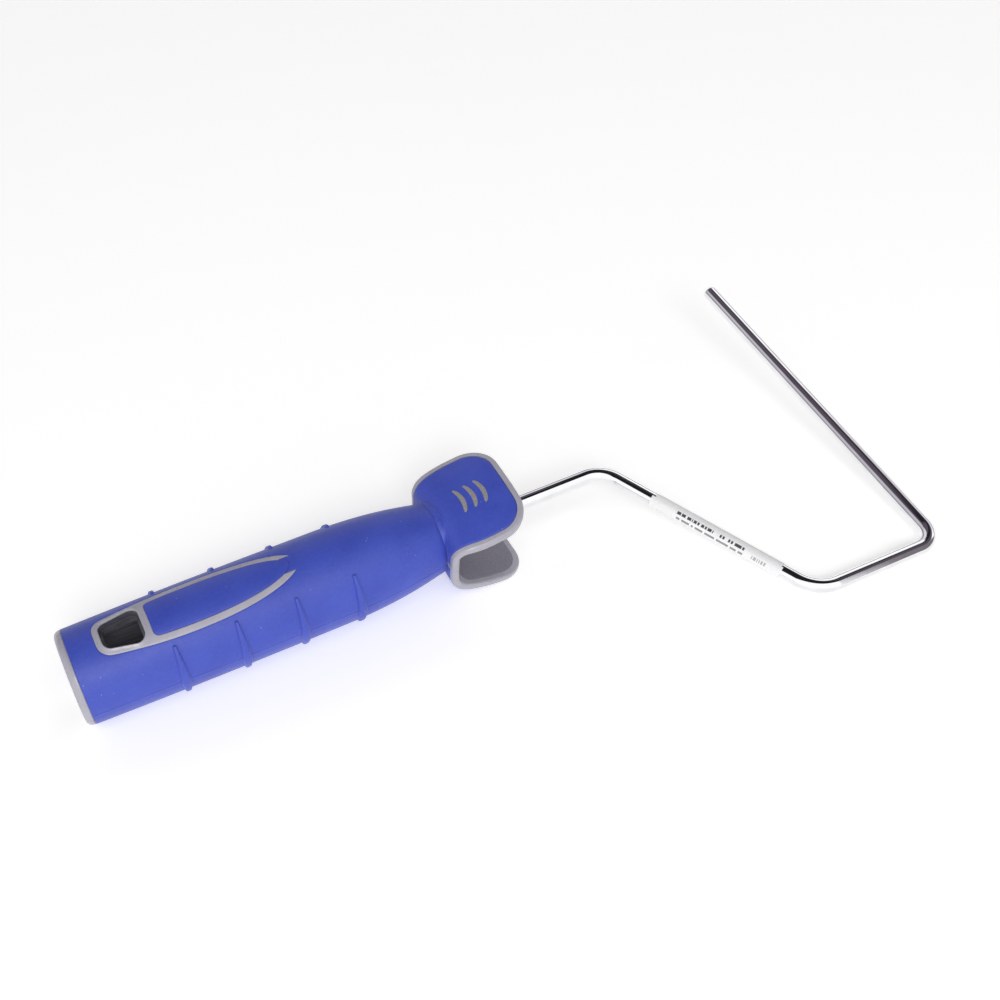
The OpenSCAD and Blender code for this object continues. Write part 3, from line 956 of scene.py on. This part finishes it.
def guard_place(s, y, depth):
    """Points on the guard's C-shaped plate. s runs from the middle of its back to a paddle's front."""
    side = np.where(s < 0, -1.0, 1.0)
    s = np.abs(s)
    angle = np.clip((s - BACK_CENTRE_Z) / BACK_R, 0, math.pi / 2 - SLOPE)
    out_x, out_z = -np.cos(angle), np.sin(angle)
    x = GUARD_X + BACK_R + (BACK_R - depth) * out_x
    z = np.minimum(s, BACK_CENTRE_Z) + (BACK_R - depth) * out_z
    beyond = np.maximum(s - BEND_END, 0)
    x = x + beyond * math.cos(SLOPE)
    z = z + beyond * math.sin(SLOPE)
    arch = y * y / (2 * ARCH_R) * smooth_step(angle, 0, math.pi / 2 - SLOPE)
    return np.c_[x, y, side * (z - arch)]


def guard_half(s):
    """Half the guard's width at a distance from the middle of its back."""
    return GUARD_MID_HALF + (GUARD_WIDE_HALF - GUARD_MID_HALF) * smooth_step(s, 2, 27)


def guard_quarter(inset=0.0, s_from=0.0):
    """+Y half of one paddle's outline, from the middle of the back to the paddle's front."""
    s_corner = GUARD_S - CORNER_R
    side = [(s, float(guard_half(s)) - inset) for s in np.linspace(s_from, s_corner, 16)]
    centre = (s_corner, GUARD_WIDE_HALF - CORNER_R)
    corner = arc(centre, CORNER_R - inset, 90, 0, 24)
    return side + corner[1:]


def panel_outline():
    """A paddle's inner panel: it starts in the bend of the back, with large rear corners."""
    s_from = BEND_END - PANEL_REACH
    s_centre = s_from + PANEL_CORNER_R
    inset = PANEL_RIM + FIT
    centre = (s_centre, float(guard_half(s_centre)) - inset - PANEL_CORNER_R)
    rear = arc(centre, PANEL_CORNER_R, 180, 92, 16)
    return both_sides(rear + [p for p in guard_quarter(inset, s_from) if p[0] > s_centre])


def build_guard():
    """Hard guard: one bent plate with full-round edges, let in for the pads, and the round nose."""
    quarter = guard_quarter()
    outline = both_sides([(-s, y) for s, y in reversed(quarter)] + quarter[1:])
    rings = (0.04, 0.14, 0.3, 0.55, 0.85, GUARD_EDGE_R, 1.7, 2.26, 2.36, 2.56, 2.68)
    sheet = Sheet([outline], 1.0, rings, edge_step=0.5)
    s, y = sheet.points.T
    round_edge = rounded_drop(sheet.edge, GUARD_EDGE_R)
    pad_bed = np.where((sheet.edge > RIM_W) & (np.abs(s) > 1.0), PAD_T - 0.1, 0)
    outer = guard_place(s, y, round_edge + pad_bed)
    inner = guard_place(s, y, PLATE_T - round_edge)
    nose_x = GUARD_X + PLATE_T - 1.0
    nose = [(nose_x, 0.0), (nose_x, 10.0), (nose_x + 1.2, 9.1), (nose_x + 2.4, 8.4), (nose_x + 4.5, 7.8),
            (NOSE_TO - 4, 5.3), (NOSE_TO - 1.2, 4.75), (NOSE_TO - 0.35, 4.4), (NOSE_TO, 3.9),
            (NOSE_TO, 3.06), (NOSE_TO - 2, 3.06), (NOSE_TO - 2, 0.0)]
    parts = [shell_mesh(sheet, outer, inner), lathe(nose, 96)]
    place(add_mesh("thumb_guard_shell", parts, "hard_grey", 40), "hard_grey", "thumb_guard")


def with_collar(points):
    """Carries the neck's round line out over the rear of a pad, blending into the paddle."""
    x, y, z = points.T
    reach = np.clip((x - GUARD_X) / 8.0, 0, 1)
    collar = NECK_R - 0.15 + hump(x - GUARD_X - 1.6, 0.45, 1.1) - 1.2 * reach ** 2
    radius = np.hypot(y, z)
    blend = 0.9
    over = np.clip(0.5 + (collar - radius) / (2 * blend), 0, 1)
    wanted = np.maximum(radius + (collar - radius) * over + blend * over * (1 - over), radius)
    return np.c_[x, y * wanted / radius, z * wanted / radius]


def build_pad(side, suffix):
    """Soft pad over one paddle and half of the guard's back, with a rounded edge."""
    outline = both_sides(guard_quarter(RIM_W + FIT, PAD_FROM))
    sheet = Sheet([outline], 0.9, (0.06, 0.18, 0.4, 0.7), edge_step=0.45)
    s, y = sheet.points.T
    crown = 0.25 * smooth_step(sheet.edge, 0.4, 6.0) * smooth_step(s, BEND_END, BEND_END + 8)
    depth = rounded_drop(sheet.edge, 0.7) * 0.8 - crown
    outer = with_collar(guard_place(s, y, depth))
    inner = guard_place(s, y, np.full_like(s, PAD_T))
    place_sided(shell_mesh(sheet, outer, inner), side, "guard_pad_" + suffix, "_skin", "soft_blue")


def build_panel(side, suffix):
    """Textured panel on the inner face of one paddle."""
    sheet = Sheet([panel_outline()], 1.0, (0.08, 0.25), edge_step=0.5)
    s, y = sheet.points.T
    outer = guard_place(s, y, PLATE_T + PANEL_PROUD - rounded_drop(sheet.edge, 0.25))
    inner = guard_place(s, y, np.full_like(s, PLATE_T - PANEL_T))
    place_sided(shell_mesh(sheet, outer, inner), side, "front_panel_" + suffix, "_skin", "panel_grey")


def mark_mesh():
    """One raised crescent with blunt, narrower ends, arched like the paddle."""
    across, along = 8, 28
    top = []
    for j in range(along + 1):
        t = -1 + 2 * j / along
        y = t * MARK_LEN / 2
        narrow = 1 - 0.3 * max(0, t) ** 1.5 - 0.25 * max(0, -t) ** 2
        half_w = MARK_W / 2 * narrow * max(0.02, math.sqrt(1 - t ** 10))
        for i in range(across + 1):
            s = -1 + 2 * i / across
            rise = MARK_H * (1 - s ** 4) * min(1, half_w / 0.3) - y * y / (2 * ARCH_R)
            top.append((-MARK_BOW * t * t + half_w * s, y, rise))
    return slab_mesh("mark", top, [(x, y, z - 1.0) for x, y, z in top], along, across)


def build_marks(side, suffix):
    """Crescents in a row up the paddle's slope."""
    nodes = NodeTree("mark_row_" + suffix, (
        ("Mark", "NodeSocketObject"), ("Count", "NodeSocketInt"), ("First", "NodeSocketVector"),
        ("Step", "NodeSocketVector"), ("Tilt", "NodeSocketFloat")))
    row = nodes.add("GeometryNodeMeshLine", {
        "Count": nodes.value("Count"), "Start Location": nodes.value("First"),
        "Offset": nodes.value("Step")})
    nodes.scatter(row.outputs[0], "Mark", {"Y": nodes.value("Tilt")}, "mark_grey")
    mark = add_object("mark_shape", mark_mesh())
    start = (GUARD_X + MARK_FIRST, 0, PADDLE_Z + RISE * MARK_FIRST + MARK_LIFT)
    step = [MARK_PITCH * MM, 0, RISE * MARK_PITCH * MM]
    values = {"Mark": mark, "Count": MARK_COUNT, "First": [c * MM for c in start], "Step": step,
              "Tilt": -SLOPE}
    base = points_mesh("mark_base_" + suffix, [(0, 0, 0)])
    piece = grown("guard_marks_" + suffix + "_trim", base, nodes, values)
    if side < 0:
        piece.data.transform(Matrix.Scale(-1, 4, (0, 0, 1)))
        piece.data.flip_normals()
    bpy.data.objects.remove(mark)
    place(piece, "hard_grey", "guard_marks_" + suffix)


# ---------------- rod and label

def build_rod():
    """Chromed wire: a path with rounded corners, swept round, with a softly broken tip."""
    nodes = NodeTree("bent_wire", (
        ("Radius", "NodeSocketFloat"), ("Bend Steps", "NodeSocketInt"), ("Sides", "NodeSocketInt")))
    path = nodes.add("GeometryNodeMeshToCurve", {0: nodes.value("Geometry")})
    rounded = nodes.add("GeometryNodeFilletCurve", {
        "Curve": path.outputs[0], "Radius": nodes.attribute("bend"), "Count": nodes.value("Bend Steps")},
        mode="POLY")
    thick = nodes.attribute("thick")
    sized = nodes.add("GeometryNodeSetCurveRadius", {0: rounded.outputs[0], "Radius": thick})
    ring = nodes.add("GeometryNodeCurvePrimitiveCircle", {
        "Radius": nodes.value("Radius"), "Resolution": nodes.value("Sides")})
    swept = nodes.add("GeometryNodeCurveToMesh", {
        "Curve": sized.outputs[0], "Profile Curve": ring.outputs[0], "Scale": thick, "Fill Caps": True})
    nodes.finish(swept.outputs[0], "chrome_rod")
    route = [(ROD_TAIL, 0.0, 0.0, 0.85), (ROD_TAIL + 0.6, 0.0, 0.0, 1.0)]
    route += [(x, y, bend_r, 1.0) for (x, y), bend_r in zip(CORNERS, BENDS)]
    for i in range(7):
        a = math.radians(15 * i)
        drop = TIP_ROUND * (1 - math.cos(a))
        route.append((CORNERS[2][0], TIP_Y - TIP_ROUND + TIP_ROUND * math.sin(a), 0.0,
                      (ROD_R - drop) / ROD_R))
    base = points_mesh("rod_path", [(x, y, 0) for x, y, _, _ in route],
                       [(i, i + 1) for i in range(len(route) - 1)],
                       bend=[r * MM for _, _, r, _ in route], thick=[t for _, _, _, t in route])
    piece = grown("roller_rod_wire", base, nodes,
                  {"Radius": ROD_R * MM, "Bend Steps": 24, "Sides": 64}, smooth_angle=50)
    place(piece, "chrome_rod", "roller_rod")


def build_label():
    """Paper wrapped round the leg with a slanted end and an overlap, and a UV map in millimetres."""
    leg = Vector((CORNERS[1][0] - CORNERS[0][0], CORNERS[1][1] - CORNERS[0][1], 0)).normalized()
    up = Vector((0, 0, 1))
    across = up.cross(leg)
    start = Vector((*CORNERS[0], 0)) + leg * LABEL_FROM
    around, along = 72, 40
    lap = math.radians(LABEL_LAP)
    sheets = []
    for layer in (LABEL_T * 0.55, 0.0):
        points = []
        for j in range(around + 1):
            turn = j / around
            angle = math.radians(LABEL_EDGE) + turn * (2 * math.pi + lap)
            climb = LABEL_T * 0.45 * float(smooth_step(turn, 0.88, 0.98))
            out = (across * math.cos(angle) + up * math.sin(angle)) * (ROD_R + LABEL_GAP + layer + climb)
            slant = 1.6 * (turn - 0.5)
            for i in range(along + 1):
                t = i / along
                offset = LABEL_LEN * t + slant * (1 - t) - 0.5 * slant * t
                points.append(tuple(start + leg * offset + out))
        sheets.append(points)
    mesh = slab_mesh("paper_label_wrap", *sheets, around, along)
    coordinates = mesh.uv_layers.new(name="label")
    for loop in mesh.loops:
        j, i = divmod(loop.vertex_index % len(sheets[0]), along + 1)
        angle = LABEL_EDGE + (360 + LABEL_LAP) * j / around
        facing = (angle + 180) % 360 - 180
        round_rod = math.radians(facing - PRINT_MIDDLE) * ROD_R
        coordinates.data[loop.index].uv = (LABEL_LEN * i / along, round_rod)
    clean_mesh(mesh, 40)
    mesh.materials.append(FINISHES["label_paper"])
    place(add_object("paper_label_wrap", mesh), "label_paper", "paper_label")


# ---------------- assembly

build_sleeve()
build_ribs()
build_butt_ring()
build_socket()
for way, name in ((1, "top"), (-1, "bottom")):
    build_bezel(way, name)
    build_inlay(way, name)
    build_pad(way, name)
    build_panel(way, name)
    build_marks(way, name)
build_guard()
build_rod()
build_label()
core = frame["nodes"]["handle_core"]
core.data.materials.clear()
core.data.materials.append(FINISHES["core_grey"])


# ---------------- stage, light and camera

def build_floor():
    """A pale seamless floor, tilted because the frame rests on its grip, guard and arm."""
    f = Finish("studio_floor", specular=0.1)
    f.shader.inputs["Roughness"].default_value = 0.9
    f.colour(f.ramp(f.noise(400, 2), (0.3, (0.885, 0.882, 0.862)), (0.7, (0.895, 0.892, 0.872))))
    f.shader.inputs["Emission Color"].default_value = (1, 1, 1, 1)
    f.shader.inputs["Emission Strength"].default_value = FLOOR_GLOW
    half = FLOOR_SIZE / 2
    turn = Vector((0, 0, 1)).rotation_difference(FLOOR_NORMAL).to_matrix()
    corners = [(-half, -half, 0), (half, -half, 0), (half, half, 0), (-half, half, 0)]
    points = [turn @ Vector(c) - FLOOR_NORMAL * FLOOR_DROP for c in corners]
    mesh = new_mesh("floor", points, [(0, 1, 2, 3)])
    mesh.materials.append(f.material)
    add_object("floor", mesh)


def build_key_light():
    """A soft square light that looks at the middle of the object."""
    light = bpy.data.lights.new("key", "AREA")
    light.shape = "SQUARE"
    light.size = KEY_SIZE
    light.energy = KEY_POWER
    lamp = add_object("key", light)
    away = Vector(KEY_TOWARDS).normalized()
    lamp.location = Vector(OBJECT_MIDDLE) * MM + away * KEY_AWAY
    lamp.rotation_euler = away.to_track_quat("Z", "Y").to_euler()


def build_world():
    """A bright studio with a dark ceiling and dimmer walls, so that the chrome shows lines."""
    world = bpy.data.worlds.new("studio")
    bpy.context.scene.world = world
    world.use_nodes = True
    f = ShaderTree(world.node_tree)
    x, y, z = f.separate(f.add("ShaderNodeTexCoord").outputs["Generated"])

    def above(value, limit, width=0.05):
        spread = f.add("ShaderNodeMapRange", From_Min=limit - width, From_Max=limit + width)
        spread.interpolation_type = "SMOOTHSTEP"
        f.link(value, spread.inputs["Value"])
        return spread.outputs["Result"]

    def below(value, limit, width=0.05):
        return above(f.math("MULTIPLY", value, -1.0), -limit, width)

    # where a direction meets a plane one unit overhead
    height = f.math("MAXIMUM", z, 0.05)
    over_x = f.math("DIVIDE", x, height)
    over_y = f.math("DIVIDE", y, height)
    upward = above(z, 0.1)
    deep = f.product(above(over_y, 0.42), below(over_y, 1.30, 0.06), upward)
    zones = (
        # far and right walls, then what stands far to the left and near on the right
        ((above(y, 0.62, 0.08), below(x, 0.48)), (0.66, 0.65, 0.68)),
        ((above(x, 0.78), above(y, 0.1, 0.1)), (0.72, 0.69, 0.74)),
        ((below(over_x, -0.60), above(y, 0.28), upward), (0.50, 0.48, 0.52)),
        ((above(x, 0.50), below(y, -0.12, 0.04), upward), (0.17, 0.15, 0.17)),
        # beam and ceiling
        ((above(over_x, 0.50), below(over_x, 1.50), above(over_y, -0.20), below(over_y, 0.80),
          upward), (0.075, 0.065, 0.080)),
        ((above(over_x, -0.62), below(over_x, 0.60), above(over_y, -0.15, 0.04), below(over_y, 0.85),
          upward), (0.012, 0.012, 0.014)),
        # gap between the lamps, truss and horizon
        ((above(over_x, -0.92, 0.06), below(over_x, 0.40), deep), (0.085, 0.070, 0.090)),
        ((above(over_x, 0.38, 0.04), below(over_x, 0.85), deep), (0.015, 0.014, 0.017)),
        ((below(z, 0.15, 0.02), above(z, -0.1, 0.02)), (0.20, 0.19, 0.21)),
    )
    level = (1.0, 1.0, 1.0)
    for limits, colour in zones:
        level = f.mix(f.product(*limits), level, colour)
    seen = f.add("ShaderNodeLightPath").outputs["Is Camera Ray"]
    background = f.tree.nodes["Background"]
    f.link(f.mix(seen, level, (1.0, 1.0, 1.0)), background.inputs["Color"])
    background.inputs["Strength"].default_value = WORLD_STRENGTH


def build_camera():
    """The camera, with the direction and the focal length of the product view."""
    lens = bpy.data.cameras.new("camera")
    lens.sensor_width = 36.0
    lens.lens = FOCAL_LEN
    lens.clip_end = 50
    camera = add_object("camera", lens)
    camera.location = Vector(CAMERA_AT) * MM
    camera.rotation_euler = [math.radians(a) for a in CAMERA_TURN]
    bpy.context.scene.camera = camera


build_floor()
build_world()
build_key_light()
build_camera()
bpy.context.scene.view_settings.view_transform = "Standard"
bpy.context.scene.view_settings.look = "None"
